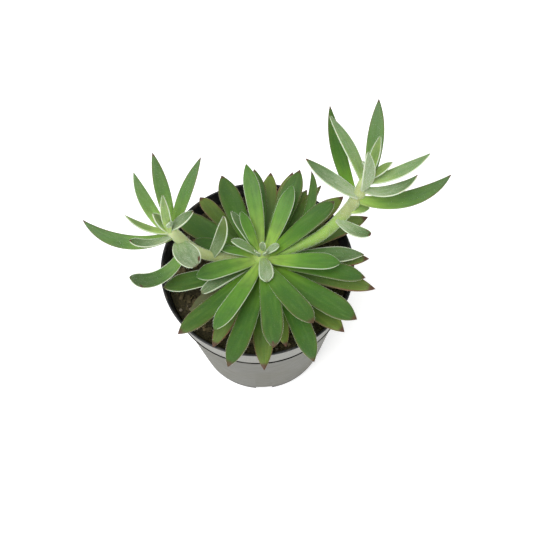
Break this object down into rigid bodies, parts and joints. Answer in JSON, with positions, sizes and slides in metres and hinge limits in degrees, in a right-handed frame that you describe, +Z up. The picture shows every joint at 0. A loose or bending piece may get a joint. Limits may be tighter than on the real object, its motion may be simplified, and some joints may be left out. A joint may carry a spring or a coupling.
{
  "type": "potted echeveria",
  "caption": "Soft-haired echeveria rosette with two leafy flowering shoots, rooted in potting mix in a round flared nursery pot.",
  "frame": {"origin": "middle of the pot's foot, on the surface that it stands on", "axes": "+Z up along the pot's axis, -Y towards the front, +X to the right where the taller shoot leans out"},
  "size_m": [0.1887, 0.1184, 0.1762],
  "materials": {
    "pot": "smooth moulded shell, grey outside and black inside",
    "soil": "dark damp peat and bark mix",
    "rosette": "fleshy green leaves with short soft hairs",
    "shoot": "pale grey-green velvety leaves and stem"
  },
  "bodies": {
    "root": {"pot": "pot", "soil": "soil", "rosette": "rosette", "left_shoot": "shoot", "right_shoot": "shoot"}
  },
  "joints": []
}
